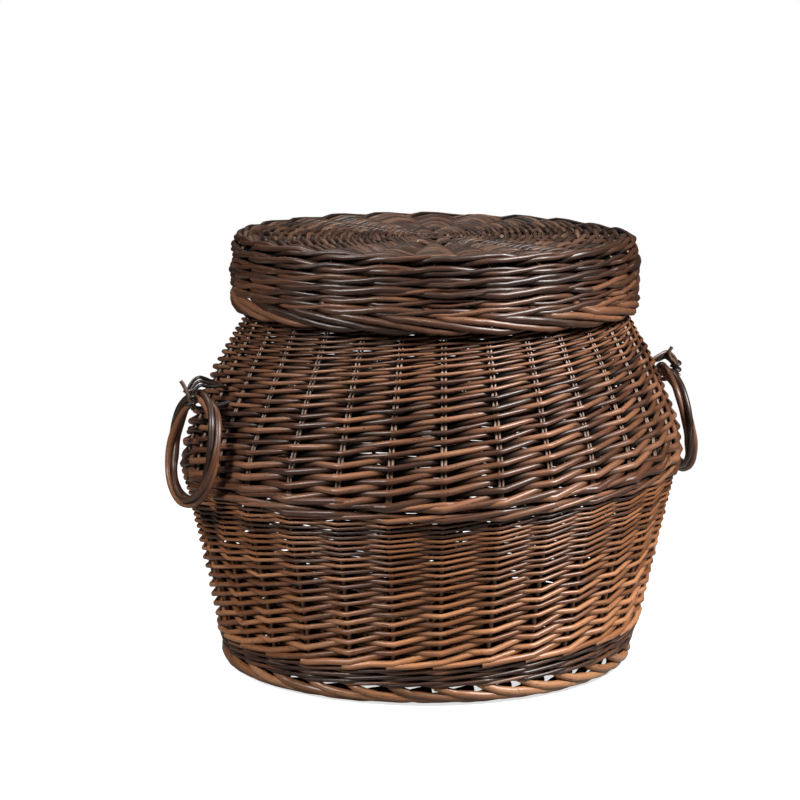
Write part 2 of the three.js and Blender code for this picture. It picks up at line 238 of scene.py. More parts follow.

# %% [markdown]
# ## Stained willow
#
# The rods are peeled willow, stained brown and varnished. No two take the stain alike, and grain and
# specks run along each. Every rod therefore carries three attributes: rod_place, its length along and its
# skin round, which the patterns follow; rod_tone, a number of its own; and its face, which tells where it
# passes behind the weave. There the group paints shade into the colour, nearly black, and takes off the
# varnish. One node group turns them into colour, roughness, shine and height. A texture on Object
# coordinates would be simpler, but it would cut across the rods.

# %% Willow group: sockets
willow = bpy.data.node_groups.new("willow_skin", "ShaderNodeTree")
for socket in ("Dark", "Middle", "Light"):
    willow.interface.new_socket(socket, in_out="INPUT", socket_type="NodeSocketColor")
for socket in ("Specks", "Scuffs"):
    willow.interface.new_socket(socket, in_out="INPUT", socket_type="NodeSocketFloat")
willow.interface.new_socket("Color", in_out="OUTPUT", socket_type="NodeSocketColor")
for socket in ("Roughness", "Height", "Shine"):
    willow.interface.new_socket(socket, in_out="OUTPUT", socket_type="NodeSocketFloat")

nodes = willow.nodes
links = willow.links
given = nodes.new("NodeGroupInput")
result = nodes.new("NodeGroupOutput")


def attribute(name):
    node = nodes.new("ShaderNodeAttribute")
    node.attribute_name = name
    return node


rod_place = attribute("rod_place").outputs["Vector"]
rod_tone = attribute("rod_tone").outputs["Fac"]
rod_face_shade = attribute("rod_face_shade").outputs["Fac"]
print("willow group:", len(willow.interface.items_tree), "sockets")


# %% Willow group: helpers
def wire(value, socket):
    """A socket gets a plain value or a link."""
    if isinstance(value, bpy.types.NodeSocket):
        links.new(value, socket)
    else:
        socket.default_value = value


def stretched_noise(along, across, detail):
    """Noise on the rod's skin, in waves per metre along the rod and across it."""
    stretch = nodes.new("ShaderNodeVectorMath")
    stretch.operation = "MULTIPLY"
    stretch.inputs[1].default_value = (along, across, across)
    links.new(rod_place, stretch.inputs[0])
    noise = nodes.new("ShaderNodeTexNoise")
    noise.inputs["Scale"].default_value = 1.0
    noise.inputs["Detail"].default_value = detail
    links.new(stretch.outputs[0], noise.inputs["Vector"])
    return noise.outputs["Fac"]


def mapped(value, low, high, to_low=0.0, to_high=1.0):
    """A value taken from one range to another, with soft ends."""
    node = nodes.new("ShaderNodeMapRange")
    node.interpolation_type = "SMOOTHSTEP"
    node.inputs["From Min"].default_value = low
    node.inputs["From Max"].default_value = high
    node.inputs["To Min"].default_value = to_low
    node.inputs["To Max"].default_value = to_high
    links.new(value, node.inputs["Value"])
    return node.outputs["Result"]


def worked(operation, first, second):
    node = nodes.new("ShaderNodeMath")
    node.operation = operation
    wire(first, node.inputs[0])
    wire(second, node.inputs[1])
    return node.outputs[0]


def mixed(factor, first, second):
    node = nodes.new("ShaderNodeMix")
    node.data_type = "RGBA"
    links.new(factor, node.inputs[0])
    wire(first, node.inputs[6])
    wire(second, node.inputs[7])
    return node.outputs[2]


# %% Willow group: colour
TONE_SHARE = 0.6
CLOUD_SHARE = 0.56
GRAIN_LEVELS = (0.72, 1.16)
BLACK = (0, 0, 0, 1)
SCUFF_COLOUR = (0.52, 0.38, 0.29, 1)
SPECK_COLOUR = (0.006, 0.004, 0.003, 1)
# Painted shade: the share of the colour that is left where a rod passes behind the weave
PAINTED_SHADE_LEVEL = 0.02

cloud = stretched_noise(along=9, across=90, detail=2)
streak = stretched_noise(along=30, across=1100, detail=3)
speck = stretched_noise(along=330, across=620, detail=1)
scuff = stretched_noise(along=45, across=420, detail=4)

shade = worked("ADD", worked("MULTIPLY", rod_tone, TONE_SHARE), worked("MULTIPLY", cloud, CLOUD_SHARE))
colour = mixed(mapped(shade, 0.14, 0.56), given.outputs["Dark"], given.outputs["Middle"])
colour = mixed(mapped(shade, 0.5, 0.98), colour, given.outputs["Light"])
colour = mixed(mapped(streak, 0.25, 0.75, *GRAIN_LEVELS), BLACK, colour)
paler = worked("MULTIPLY", mapped(scuff, 0.6, 0.74), given.outputs["Scuffs"])
colour = mixed(paler, colour, SCUFF_COLOUR)
# Painted shade: the colour turns nearly black where the rod passes behind the weave, in the gaps between
# rods
painted_shade_factor = mapped(rod_face_shade, -0.7, 0.6, PAINTED_SHADE_LEVEL, 1.0)
colour = mixed(painted_shade_factor, BLACK, colour)
spots = worked("MULTIPLY", mapped(speck, 0.66, 0.73), given.outputs["Specks"])
colour = mixed(spots, colour, SPECK_COLOUR)
links.new(colour, result.inputs["Color"])
print("willow colour:", len(nodes), "nodes")

# %% Willow group: roughness, height and shine
ROUGHNESS = (0.4, 0.6)
SPECK_DEPTH = 0.6

# In the painted shade behind the weave the willow turns fully rough and Shine, which sets the coat, drops,
# so no highlight shows in the gaps
painted_shade_amount = worked("SUBTRACT", 1.0, painted_shade_factor)
links.new(worked("MAXIMUM", mapped(streak, 0.2, 0.8, *ROUGHNESS), painted_shade_amount), result.inputs["Roughness"])
links.new(worked("SUBTRACT", streak, worked("MULTIPLY", spots, SPECK_DEPTH)), result.inputs["Height"])
links.new(painted_shade_factor, result.inputs["Shine"])
print("willow group:", len(nodes), "nodes,", len(links), "links")

# %% [markdown]
# ## A willow for each band
#
# The bands differ in colour: the lower band and the foot are the palest, the lid is the darkest, and
# its top is nearly dull. So each band has a material with its own three shades, for dark, middling and
# pale rods, and its own strength of varnish. The varnish is the coat of the Principled shader: the willow
# below stays rough, and only the coat shines.

# %% Willow materials
SPECKS = 0.9
SCUFFS = 0.3
BUMP_STRENGTH = 0.35
BUMP_DEPTH = 0.0006
GLOSS_LEVEL = 0.28
VARNISH_ROUGHNESS = 0.32
VARNISHED = 0.8
WORN = 0.15


def willow_material(name, dark, middle, light, varnish):
    material = bpy.data.materials.new(name)
    material.use_nodes = True
    tree = material.node_tree
    surface = tree.nodes["Principled BSDF"]
    skin = tree.nodes.new("ShaderNodeGroup")
    skin.node_tree = willow
    for socket, value in (("Dark", dark), ("Middle", middle), ("Light", light)):
        skin.inputs[socket].default_value = (*value, 1)
    skin.inputs["Specks"].default_value = SPECKS
    skin.inputs["Scuffs"].default_value = SCUFFS
    bump = tree.nodes.new("ShaderNodeBump")
    bump.inputs["Strength"].default_value = BUMP_STRENGTH
    bump.inputs["Distance"].default_value = BUMP_DEPTH
    coat = tree.nodes.new("ShaderNodeMath")
    coat.operation = "MULTIPLY"
    coat.inputs[1].default_value = varnish
    tree.links.new(skin.outputs["Color"], surface.inputs["Base Color"])
    tree.links.new(skin.outputs["Roughness"], surface.inputs["Roughness"])
    tree.links.new(skin.outputs["Height"], bump.inputs["Height"])
    tree.links.new(bump.outputs["Normal"], surface.inputs["Normal"])
    # The coat follows Shine, so it is taken off in the painted shade behind the weave
    tree.links.new(skin.outputs["Shine"], coat.inputs[0])
    tree.links.new(coat.outputs[0], surface.inputs["Coat Weight"])
    surface.inputs["Specular IOR Level"].default_value = GLOSS_LEVEL
    surface.inputs["Coat Roughness"].default_value = VARNISH_ROUGHNESS
    return material


SHADES = {
    "weave_willow": ((0.042, 0.0125, 0.0036), (0.265, 0.093, 0.029), (0.54, 0.23, 0.097), VARNISHED),
    "upper_willow": ((0.02, 0.0066, 0.0027), (0.115, 0.04, 0.0154), (0.33, 0.14, 0.066), VARNISHED),
    "wale_willow": ((0.018, 0.0062, 0.0026), (0.09, 0.032, 0.0125), (0.27, 0.112, 0.051), VARNISHED),
    "foot_willow": ((0.08, 0.028, 0.01), (0.3, 0.118, 0.043), (0.5, 0.235, 0.107), VARNISHED),
    "lid_willow": ((0.016, 0.0054, 0.0024), (0.075, 0.0275, 0.0118), (0.26, 0.107, 0.05), VARNISHED),
    "top_willow": ((0.011, 0.005, 0.003), (0.041, 0.0185, 0.0105), (0.135, 0.067, 0.039), WORN),
    # The pale shade of the stake willow is partly a painted highlight on the bye-stakes
    "stake_willow": ((0.06, 0.024, 0.011), (0.24, 0.1, 0.045), (0.4, 0.28, 0.21), VARNISHED),
    "ring_willow": ((0.008, 0.0032, 0.0017), (0.075, 0.027, 0.0115), (0.3, 0.12, 0.052), VARNISHED),
    "tie_willow": ((0.005, 0.0035, 0.0028), (0.028, 0.017, 0.0115), (0.19, 0.105, 0.068), VARNISHED),
}
willows = {name: willow_material(name, *shades) for name, shades in SHADES.items()}
print("willow materials:", ", ".join(willows))

# %% Cut ends
CUT_COLOUR = (0.36, 0.24, 0.15, 1)
CUT_ROUGHNESS = 0.75

cut_end = bpy.data.materials.new("cut_end")
cut_end.use_nodes = True
surface = cut_end.node_tree.nodes["Principled BSDF"]
surface.inputs["Base Color"].default_value = CUT_COLOUR
surface.inputs["Roughness"].default_value = CUT_ROUGHNESS
print("materials:", len(bpy.data.materials))

# %% [markdown]
# ## A wall that isn't true
#
# A hand-woven wall leans a little to one side, its rows dip to the other side and sag in front, and the
# foot stands aside. The bands are laid out true, and one function moves all of their points at the end. A
# lattice would do the same, but a function keeps the numbers in sight.

# %% Lean, tilt and sag
LEAN = 0.021
LEAN_LEVEL = 190.0
TILTS = {"hamper": 0.0236, "lid": -0.008}
TILT_FROM = 35.0
LID_LEVEL = 405.0
FOOT_ASIDE = 4.5
FOOT_NARROWER = 0.013
FOOT_LEVEL = 70.0
SAG = 6.5
SAG_LEVELS = ((90, 0), (190, 1), (225, 1), (330, 0))
SAG_POWER = 6
LEAN_ROUND = math.radians(-15)
ASIDE = np.array([math.cos(LEAN_ROUND), math.sin(LEAN_ROUND), 0])
TOWARDS = np.array([math.sin(LEAN_ROUND), -math.cos(LEAN_ROUND), 0])


def leaning(points, body):
    """Points of a true wall, moved to where the hand-woven one has them."""
    height = points[:, 2] if body == "hamper" else LID_LEVEL
    tilt = TILTS[body] * np.clip(points[:, 2] / TILT_FROM, 0, 1)
    lean = LEAN * np.maximum(height - LEAN_LEVEL, 0) * np.ones(len(points))
    rise = tilt * (points @ ASIDE)
    if body == "hamper":
        low = np.clip(1 - points[:, 2] / FOOT_LEVEL, 0, 1)
        lean = lean - low * (FOOT_ASIDE + FOOT_NARROWER * (points @ ASIDE))
        ahead = np.clip(points @ TOWARDS / np.linalg.norm(points[:, :2], axis=1), 0, 1)
        rise = rise - SAG * ahead**SAG_POWER * np.interp(points[:, 2], *zip(*SAG_LEVELS))
    return points + np.outer(lean, ASIDE) + np.outer(rise, (0, 0, 1))


print("lid leans", round(LEAN * (LID_LEVEL - LEAN_LEVEL), 1), "mm aside")

# %% [markdown]
# ## Rods
#
# A rod is a line of points with a radius at each. A circle could be extruded from point to point, but a
# curve with a bevel sweeps the tube in one step and keeps it from twisting. The tube is kept as a mesh so
# that each rod can carry its attributes. The curve's mesh lists the end caps first, the last rod's before
# the first's, and then the rings of each rod in turn.


# %% Tubes along rods
def tube_mesh(name, rods, sides):
    """One mesh with a round tube along each rod. The curve that makes it is thrown away."""
    line = bpy.data.curves.new(name, "CURVE")
    line.dimensions = "3D"
    line.bevel_depth = MM
    line.bevel_resolution = (sides - 4) // 2
    line.use_fill_caps = True
    for points, radii, face in rods:
        spline = line.splines.new("POLY")
        spline.points.add(len(points) - 1)
        spots = np.column_stack([points * MM, np.ones(len(points))])
        spline.points.foreach_set("co", spots.ravel())
        spline.points.foreach_set("radius", radii)
    maker = bpy.data.objects.new(name + "_maker", line)
    bpy.context.scene.collection.objects.link(maker)
    shaped = maker.evaluated_get(bpy.context.evaluated_depsgraph_get())
    mesh = bpy.data.meshes.new_from_object(shaped)
    mesh.name = name
    bpy.data.objects.remove(maker)
    bpy.data.curves.remove(line)
    return mesh


# %% Skin of a rod
ROD_LENGTH = 1.1
PATTERN_SPREAD = 50.0
BACK_FROM = 0.4
PLACE = slice(0, 3)
TONE = 3
FACE = 4
MIDDLE = slice(5, 8)
COLUMNS = 8


def rod_skin(points, radii, face, sides, tone, drift):
    """A row for each point of the tube: its place on the skin, tone, face and the middle of its ring."""
    turn = 2 * np.pi * np.arange(sides) / sides
    steps = np.diff(points, axis=0, prepend=points[:1])
    along = np.cumsum(np.linalg.norm(steps, axis=1)) * MM
    skin = np.empty((len(points), sides, COLUMNS))
    skin[:, :, 0] = (along + PATTERN_SPREAD * rng.random())[:, None]
    skin[:, :, 1] = np.outer(radii * MM, np.cos(turn))
    skin[:, :, 2] = np.outer(radii * MM, np.sin(turn))
    shades = rng.random(int(along[-1] / ROD_LENGTH) + 1)
    if tone is not None:
        shades[:] = tone
    shade = shades[(along / ROD_LENGTH).astype(int)] + drift * (0.5 - along / along[-1])
    skin[:, :, TONE] = shade[:, None]
    skin[:, :, FACE] = face[:, None]
    skin[:, :, MIDDLE] = (points * MM)[:, None]
    return skin


def seen_side(skins, mesh, flat):
    """The face that sets the painted shade, turned round on the back of each rod, seen from the other side.
    """
    spots = np.empty(3 * len(mesh.vertices))
    mesh.vertices.foreach_get("co", spots)
    middles = skins[:, MIDDLE]
    outward = spots.reshape(-1, 3) - middles
    facing = np.tile((0.0, 0.0, 1.0), (len(middles), 1)) if flat else middles * (1, 1, 0)
    spans = np.linalg.norm(outward, axis=1) * np.linalg.norm(facing, axis=1)
    side = (outward * facing).sum(axis=1) / spans
    return skins[:, FACE] * np.clip(1 + side / BACK_FROM, -1, 1)


# %% Rods to a piece
def rod_piece(name, rods, material, body, cad_nodes, sides=8, leans=True, tones=None, drift=0.0,
              flat=False):
    """One piece of willow from rods of (points in mm, radii in mm), with a stain tone for each if it is
    set. drift makes each rod lighter at its start and darker at its end.

    A woven rod also gives its face at each point: 1 at the face of the weave and -1 behind it, where the
    willow paints shade into the colour. flat weaves have their face up, and walls outward.
    """
    woven = len(rods[0]) == 3
    rods = [rod if len(rod) == 3 else (*rod, np.ones(len(rod[0]))) for rod in rods]
    if leans:
        rods = [(leaning(points, body), radii, face) for points, radii, face in rods]
    mesh = tube_mesh(name, rods, sides)

    tones = tones or [None] * len(rods)
    rings = [rod_skin(*rod, sides, tone, drift) for rod, tone in zip(rods, tones)]
    caps = [end for skin in reversed(rings) for end in (skin[-1], skin[0])]
    skins = np.concatenate(caps + [skin.reshape(-1, COLUMNS) for skin in rings])
    # The face sets the painted shade, and the back of each rod takes it turned round
    if woven:
        skins[:, FACE] = seen_side(skins, mesh, flat)
    place = mesh.attributes.new("rod_place", "FLOAT_VECTOR", "POINT")
    place.data.foreach_set("vector", skins[:, PLACE].ravel())
    for title, column in (("rod_tone", TONE), ("rod_face_shade", FACE)):
        mesh.attributes.new(title, "FLOAT", "POINT").data.foreach_set("value", skins[:, column].copy())

    mesh.materials.append(material)
    mesh.materials.append(cut_end)
    corners = np.empty(len(mesh.polygons), int)
    mesh.polygons.foreach_get("loop_total", corners)
    mesh.polygons.foreach_set("material_index", (corners == 3).astype(int))
    mesh.shade_smooth()

    piece = bpy.data.objects.new(name, mesh)
    bpy.context.scene.collection.objects.link(piece)
    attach(piece, body)
    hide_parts(*cad_nodes)
    print(name, len(rods), "rods,", len(mesh.polygons), "faces")


# %% Lines of rods
def flow(stations, steps):
    """A smooth line through stations, with steps points from each to the next."""
    stations = np.asarray(stations, float)
    ends = np.vstack([2 * stations[0] - stations[1], stations, 2 * stations[-1] - stations[-2]])
    part = np.arange(steps)[:, None] / steps
    stretches = []
    for before, start, end, after in zip(ends, ends[1:], ends[2:], ends[3:]):
        bend = 2 * before - 5 * start + 4 * end - after
        twist = 3 * (start - end) + after - before
        stretches.append(start + 0.5 * part * (end - before + part * (bend + part * twist)))
    return np.vstack(stretches + [stations[-1:]])


def wobble(count, size, waves=5):
    """A gentle unevenness along a rod."""
    part = np.linspace(0, 1, count)
    turns = rng.uniform(2, 14, waves)
    starts = rng.random(waves)
    return size * np.sin(2 * np.pi * (np.outer(part, turns) + starts)).mean(axis=1)


def around(turn, radius, height):
    """Points from a turn round the axis, a radius and a height."""
    turn, radius, height = np.broadcast_arrays(turn, radius, height)
    return np.column_stack([radius * np.cos(turn), radius * np.sin(turn), height])


print("three stations flow into", len(flow([(0, 0), (1, 0), (1, 1)], 5)), "points")

# %% [markdown]
# ## The wall's line
#
# All of the bands follow one outline, so it is measured once on the CAD bands, with rays that come in
# from the front, over a stake, and smoothed. The stakes stand inside it by half of the wall's thickness,
# and the rods pass outside or inside of them.

# %% Measure the wall on the frame
SIDE_BANDS = ("upsett_wale", "lower_side_weave", "belly_wale", "upper_side_weave", "rim_wale", "rim_border")
RAY_STEP = 2.0
SMOOTHING = 13


def levels(node):
    """The bottom and the top of a CAD node in mm."""
    low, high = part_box(node)
    return low.z / MM, high.z / MM


def outer_radius(node):
    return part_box(node)[1].x / MM


wall_heights = []
wall_radii = []
for band in SIDE_BANDS:
    bottom, top = levels(band)
    for height in np.arange(bottom + 0.5, top, RAY_STEP):
        spot = frame["nodes"][band].ray_cast((0, -1, height * MM), (0, 1, 0))[1]
        wall_heights.append(height)
        wall_radii.append(-spot.y / MM)
padded = np.pad(wall_radii, SMOOTHING // 2, mode="reflect", reflect_type="odd")
wall_radii = np.convolve(padded, np.ones(SMOOTHING) / SMOOTHING, mode="valid")
print("belly stands", round(float(max(wall_radii)), 1), "mm from the axis")

# %% Line of the stakes
STAKES = 30
STAKE_INSETS = ((40, 10.6), (110, 9.1), (195, 6.9), (215, 8.2), (240, 9.0), (370, 6.4), (425, 7.0))
STAKE_HALF = 2.2
STAKE_TURN = 2 * np.pi / STAKES
STAKE_STRAY = 0.3
FIRST_TURN = -np.pi / 2


def stake_radius(height):
    inset = np.interp(height, *zip(*STAKE_INSETS))
    return np.interp(height, wall_heights, wall_radii) - inset


def wall_slope(height):
    return (stake_radius(height + 2) - stake_radius(height - 2)) / 4


def on_wall(turn, height, outward):
    """Points at a turn and a height, moved outward from the stakes' line, square to the wall."""
    slope = wall_slope(height)
    level = outward / np.sqrt(1 + slope**2)
    return around(turn, stake_radius(height) + level, height - level * slope)


strays = np.radians(rng.normal(0, STAKE_STRAY, STAKES))
stake_turns = FIRST_TURN + STAKE_TURN * np.arange(STAKES) + strays


def turn_at(place):
    """The turn round the axis at a place counted in stakes, which needn't be whole."""
    whole = np.floor(place).astype(int)
    part = place - whole
    rounds, stake = np.divmod(whole, STAKES)
    step = np.append(stake_turns, stake_turns[0] + 2 * np.pi)
    return rounds * 2 * np.pi + step[stake] * (1 - part) + step[stake + 1] * part


print("stakes stray by up to", round(float(np.degrees(abs(strays).max())), 2), "degrees")

# %% [markdown]
# ## Stakes
#
# A stake comes up from the foot at each of thirty places and ends in the belly. There two thinner rods
# are pushed in beside it and run on to the rim, so pairs of thin rods show in the upper band. They get the
# pale tone of the stake willow, which is partly their own colour and partly a painted highlight. All of
# them follow the wall's line, with a slight wobble.

# %% Stakes
upsett_bottom = levels("upsett_wale")[0]
lower_bottom, lower_top = levels("lower_side_weave")
belly_bottom, belly_top = levels("belly_wale")
upper_top = levels("upper_side_weave")[1]
rim_bottom, rim_top = levels("rim_wale")
border_bottom, border_top = levels("rim_border")

STAKE_POINTS = 40
STAKE_WOBBLE = 0.4
STAKE_THICK = (4.8, 4.4)
BYE_STAKE_THICK = (2.7, 2.3)
BYE_STAKE_SIDE = 1.75
# The bye-stakes' pale tones are partly their own colour and partly a painted highlight
STAKE_TONES = (0.45, 0.95, 0.85)


def stake_rod(stake, bottom, top, aside, thick):
    heights = np.linspace(bottom, top, STAKE_POINTS)
    turn = stake_turns[stake] + aside / stake_radius(heights)
    points = on_wall(turn, heights, wobble(STAKE_POINTS, STAKE_WOBBLE))
    return points, np.linspace(*thick, STAKE_POINTS) / 2


for stake in range(STAKES):
    rods = [
        stake_rod(stake, upsett_bottom - 4, belly_top, 0, STAKE_THICK),
        stake_rod(stake, belly_bottom + 4, border_bottom + 6, -BYE_STAKE_SIDE, BYE_STAKE_THICK),
        stake_rod(stake, belly_bottom + 4, border_bottom + 2, BYE_STAKE_SIDE, BYE_STAKE_THICK),
    ]
    name = f"side_stake_{stake + 1:02d}"
    rod_piece(name + "_rods", rods, willows["stake_willow"], "hamper", [name], tones=STAKE_TONES)

# %% [markdown]
# ## Slanted weave
#
# The two tall bands are French rand: there are as many weavers as stakes, and each goes in front of one
# stake, behind the next, and climbs one row every two stakes. A stiff rod bends only where a stake bends
# it, so its line is given at the stakes and is straight between them. It climbs mostly after the stake
# that it passes in front of. Willow tapers, so the rows close up from butt to tip. Real rods are beaten
# down and pack tightly where they pass behind; here they are made thicker there, which closes the weave
# as well.

# %% Lines that bend at the stakes
STEP_PARTS = np.array([0, 0.03, 0.08, 0.5, 0.75, 0.92, 0.97])
BEND = 0.03
BEHIND_WIDER = 0.8


def stake_steps(first, last):
    """Places along a rod, in stakes, close together where a stake bends it."""
    places = (np.arange(math.floor(first), math.ceil(last) + 1)[:, None] + STEP_PARTS).ravel()
    inside = places[(places > first + 0.01) & (places < last - 0.01)]
    return np.concatenate([[first], inside, [last]])


def bent(places, stakes, values, bend=BEND):
    """A line that has these values at the stakes and is straight between them."""
    knots = (np.asarray(stakes, float)[:, None] + np.array([-bend, bend])).ravel()
    return np.interp(places, knots, np.repeat(values, 2))


def widened(thick, face, start):
    """Radii of a rod that is thicker where it passes behind."""
    return thick / 2 * (1 + BEHIND_WIDER * np.clip(start - face, 0, 1))


def strayed(count, size):
    """Factors about 1, one for each crossing."""
    return 1 + rng.normal(0, size, count)


print("a rod past four stakes has", len(stake_steps(0, 4)), "points")


# %% French rand
RAND_PLACES = np.array([0, 0.75, 1, 1.5])
RAND_FACE = np.array([1, 0.1, -1, -0.1])
RAND_WIDER_FROM = 0.0
RAND_STRAY = 0.06
RAND_SPREAD = 0.07
RAND_WOBBLE = 0.3
BUTT_DROP = 0.65


def rand_rods(bottom, top, pitches, thicknesses, climb, lead, butts_outside):
    """pitches and thicknesses are given at some rows, and run evenly between those."""
    rows = [bottom]
    while rows[-1] < top:
        rows.append(rows[-1] + np.interp(len(rows) - 1, *zip(*pitches)))
    count = len(rows) - 1
    rounds = np.arange(-1, count)[:, None]
    crossings = (2 * rounds + RAND_PLACES).ravel()
    in_front = np.tile(RAND_FACE, count + 1)
    row = (rounds + climb).ravel()
    levels_there = np.interp(row, np.arange(count + 1), rows)
    pitch_there = np.interp(row, *zip(*pitches))
    if butts_outside:
        in_front[crossings < 0] = 1
        levels_there = levels_there + np.minimum(crossings, 0) * BUTT_DROP * thicknesses[0][1]
    places = stake_steps(-lead, 2 * count - 1)
    rods = []
    for stake in range(STAKES):
        thick = np.interp(places / 2, *zip(*thicknesses)) * rng.normal(1, RAND_SPREAD)
        uneven = rng.normal(0, RAND_STRAY, len(crossings)) * pitch_there
        height = bent(places, crossings, levels_there + uneven)
        face = bent(places, crossings, in_front * strayed(len(crossings), RAND_STRAY))
        radii = widened(thick, face, RAND_WIDER_FROM)
        outward = face * (STAKE_HALF + radii) + wobble(len(places), RAND_WOBBLE)
        rods.append((on_wall(turn_at(stake + places), height, outward), radii, face))
    return rods


# %% Lower band
LOWER_PITCHES = ((0, 10.6), (7, 9.5), (10, 6.9), (16, 5.3), (22, 4.8))
LOWER_RODS = ((0, 6.3), (2, 5.3), (6, 4.5), (10, 3.7), (16, 3.05), (22, 2.85))
LOWER_CLIMB = np.array([0, 0.62, 0.78, 0.86])
LOWER_LEAD = 1.12
LOWER_DRIFT = 0.65

rods = rand_rods(lower_bottom - 6, lower_top + 3, LOWER_PITCHES, LOWER_RODS, LOWER_CLIMB, LOWER_LEAD, True)
rod_piece("lower_side_rods", rods, willows["weave_willow"], "hamper", ["lower_side_weave"],
          drift=LOWER_DRIFT)

# %% Upper band
UPPER_PITCHES = ((0, 13.0), (1, 11.0), (5, 10.0), (15, 4.9), (27, 4.6))
UPPER_RODS = ((0, 8.0), (1, 7.0), (3, 5.8), (8, 4.9), (11, 4.0), (14, 2.8), (27, 2.6))
UPPER_CLIMB = np.array([0, 0.6, 0.75, 0.9])
UPPER_LEAD = 0.9
upper_start = belly_bottom + 15.5

rods = rand_rods(upper_start, upper_top + 1, UPPER_PITCHES, UPPER_RODS, UPPER_CLIMB, UPPER_LEAD, False)
rod_piece("upper_side_rods", rods, willows["upper_willow"], "hamper", ["upper_side_weave"])

# %% [markdown]
# ## Wales
#
# A wale is woven with three rods in turn: each goes in front of two stakes and behind one. It comes out
# low, climbs over the other two and goes in above them, which makes a rope of long slanting strokes. The
# rows are one spiral for each rod, which steps up at the back, where it doesn't show.

# %% Three-rod wale
WALE_SIDE = (1, 1, -1)
WALE_LIFT = (-0.46, 0.46, 0.0)
WALE_WIDER_FROM = 0.2
WALE_STRAY = 0.05
LIFT_STRAY = 0.06
STEP_UP = 4
SWELLING = 7
SWELLS = 9


def wale_rods(rows, thick, stakes, turns, uneven=0.5, spread=0.03, bend=BEND):
    """rows are (radius, height, tilt) of each round's middle; tilt turns outward up towards the top."""
    rows = np.asarray(rows, float)
    rows = np.vstack([rows, rows[-1]])
    count = len(rows) - 1
    crossings = np.arange(-1, stakes * count + 2)
    places = stake_steps(0, stakes * count)
    whole = np.minimum(np.floor(places / stakes), count - 1)
    rest = np.clip((places - whole * stakes - (stakes - STEP_UP)) / STEP_UP, 0, 1)
    level = whole + rest * rest * (3 - 2 * rest)
    middle, row_height, tilt = (np.interp(level, np.arange(count + 1), column) for column in rows.T)
    rods = []
    for rod in range(3):
        in_front = np.array(WALE_SIDE)[crossings % 3] * strayed(len(crossings), WALE_STRAY)
        lift = np.array(WALE_LIFT)[crossings % 3] + rng.normal(0, LIFT_STRAY, len(crossings))
        thickness = thick * rng.normal(1, spread) * (1 + wobble(len(places), SWELLING * spread, SWELLS))
        face = bent(places, crossings, in_front, bend)
        radii = widened(thickness, face, WALE_WIDER_FROM)
        outward = face * (STAKE_HALF + radii) + wobble(len(places), uneven)
        upward = bent(places, crossings, lift, bend) * thick + wobble(len(places), uneven)
        radius = middle + outward * np.cos(tilt) - upward * np.sin(tilt)
        height = row_height + outward * np.sin(tilt) + upward * np.cos(tilt)
        rods.append((around(turns(places + rod), radius, height), radii, face))
    return rods


# %% Wales of the wall
UPSETT_ROD = 4.0
BELLY_ROD = 6.0
RIM_ROD = 4.6
BELLY_UNEVEN = 0.8
BELLY_SPREAD = 0.09


def wall_rows(bottom, top, count):
    heights = bottom + (top - bottom) * (np.arange(count) + 0.5) / count
    return np.column_stack([stake_radius(heights), heights, -np.arctan(wall_slope(heights))])


def from_back(place):
    return turn_at(place + STAKES // 2)


rows = wall_rows(upsett_bottom + 1, upsett_bottom + 29, 4)
rods = wale_rods(rows, UPSETT_ROD, STAKES, from_back)
rod_piece("upsett_rods", rods, willows["wale_willow"], "hamper", ["upsett_wale"])
rows = wall_rows(belly_bottom, belly_bottom + 21, 2)
rods = wale_rods(rows, BELLY_ROD, STAKES, from_back, BELLY_UNEVEN, BELLY_SPREAD)
rod_piece("belly_rods", rods, willows["upper_willow"], "hamper", ["belly_wale"])
rows = wall_rows(rim_bottom, rim_top + 2, 2)
rods = wale_rods(rows, RIM_ROD, STAKES, from_back)
rod_piece("rim_wale_rods", rods, willows["wale_willow"], "hamper", ["rim_wale"])

# %% [markdown]
# ## Borders
#
# A border is made by turning each stake down and laying it along past the next few, which hold it. All of
# its rods follow one line, moved on by one place each time, so the line is given once as stations: how
# many places on, the radius and the height.

# %% Rods of a border
BORDER_SPREAD = 0.05
BORDER_WOBBLE = 0.5


def border_rods(stations, thick, count, turns):
    """thick is given at the start and at the end of a rod."""
    rods = []
    for rod in range(count):
        line = flow(stations, 5)
        place, radius, height = line.T
        thickness = np.linspace(*thick, len(line)) * rng.normal(1, BORDER_SPREAD)
        radius = radius + wobble(len(line), BORDER_WOBBLE)
        height = height + wobble(len(line), BORDER_WOBBLE)
        rods.append((around(turns(place + rod), radius, height), thickness / 2))
    return rods


# %% Foot border
FOOT_THICK = (8.8, 8.0)
foot_outer = outer_radius("foot_border")
foot_line = [
    (-0.5, foot_outer - 10, upsett_bottom + 14),
    (-0.25, foot_outer - 9, upsett_bottom + 7),
    (-0.05, foot_outer - 6.5, upsett_bottom + 1.5),
    (0.2, foot_outer - 4.6, 15.4),
    (0.5, foot_outer - 4.2, 11.8),
    (1.0, foot_outer - 4.6, 9.2),
    (1.5, foot_outer - 6.5, 7.1),
    (2.0, foot_outer - 9.5, 5.7),
    (2.5, foot_outer - 13.5, 5.3),
    (3.0, foot_outer - 19, 6.0),
    (3.4, foot_outer - 24, 8),
    (3.9, foot_outer - 26, 12),
]
rods = border_rods(foot_line, FOOT_THICK, STAKES, turn_at)
rod_piece("foot_border_rods", rods, willows["foot_willow"], "hamper", ["foot_border"])

